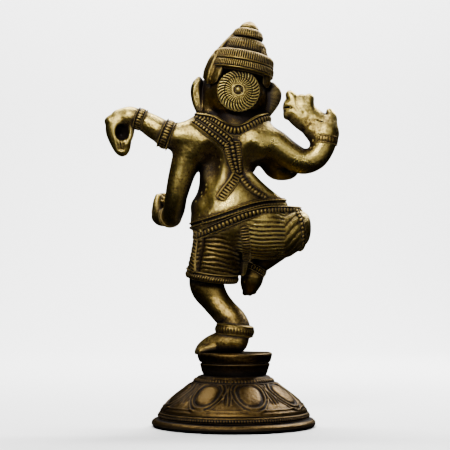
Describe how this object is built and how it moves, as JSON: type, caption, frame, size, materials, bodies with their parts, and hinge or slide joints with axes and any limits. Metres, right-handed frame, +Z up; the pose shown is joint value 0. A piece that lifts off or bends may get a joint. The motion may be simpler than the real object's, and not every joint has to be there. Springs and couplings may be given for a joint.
{
  "type": "brass dancing figure statue",
  "caption": "Small cast brass statue of a multi-armed elephant-headed dancer on one leg, on a round hollow lotus base with a stepped plinth.",
  "frame": {"origin": "centre of the whole object's box on the surface it stands on; the base's own axis is 4.1 mm towards -X from it, because the arms reach further on the +X side", "axes": "+Z up, -Y the way the figure faces, +X the figure's own left side"},
  "size_m": [0.0862, 0.06, 0.15],
  "materials": {
    "polished_brass": "cast brass, hand rubbed on the high places and dark brown in the hollows",
    "patinated_brass": "cast brass ornament with dark patina between its beads and grooves",
    "aged_brass": "cast brass of the base, dark brown with age and rubbed only on its petals and edges",
    "fixing_steel": "dull zinc-plated steel"
  },
  "bodies": {
    "root": {"torso": "polished_brass", "belt_band": "polished_brass", "right_dhoti_leg": "polished_brass", "front_sash": "polished_brass", "rear_left_arm": "polished_brass", "rear_left_hand": "polished_brass", "front_left_arm": "polished_brass", "front_left_hand": "polished_brass", "rear_right_arm": "polished_brass", "rear_right_hand": "polished_brass", "front_right_hand": "polished_brass", "left_ear": "polished_brass", "right_ear": "polished_brass", "trunk": "polished_brass", "left_tusk": "polished_brass", "right_tusk": "polished_brass", "head_rosette": "polished_brass", "pendant": "polished_brass", "sacred_thread": "polished_brass", "crown_body": "patinated_brass", "crown_tier_lower": "patinated_brass", "crown_tier_upper": "patinated_brass", "crown_finial": "patinated_brass", "crown_flap_left": "patinated_brass", "crown_flap_right": "patinated_brass", "head": "patinated_brass", "left_dhoti_leg": "patinated_brass", "left_shin": "patinated_brass", "left_foot": "patinated_brass", "right_shin": "patinated_brass", "right_foot": "patinated_brass", "front_right_arm": "patinated_brass", "belt_bead_band": "patinated_brass", "left_dhoti_hem": "patinated_brass", "left_anklet": "patinated_brass", "right_knee_band": "patinated_brass", "right_anklet": "patinated_brass", "centre_pleat": "patinated_brass", "left_side_hem": "patinated_brass", "rear_left_armlet": "patinated_brass", "rear_left_bracelet": "patinated_brass", "front_left_bracelet": "patinated_brass", "sweet_bowl": "patinated_brass", "rear_right_bracelet": "patinated_brass", "rosette_boss": "patinated_brass", "crown_band_wide": "patinated_brass", "crown_band_narrow": "patinated_brass", "collar_necklace": "patinated_brass", "shoulder_garland": "patinated_brass", "spine_garland": "patinated_brass", "hip_garland_left": "patinated_brass", "hip_garland_right": "patinated_brass", "lotus_base": "aged_brass", "plinth_drum": "aged_brass", "plinth_cap": "aged_brass", "lower_bead_ring": "aged_brass", "upper_bead_ring": "aged_brass", "fixing_stud": "fixing_steel", "fixing_washer": "fixing_steel", "fixing_nut": "fixing_steel"}
  },
  "joints": []
}
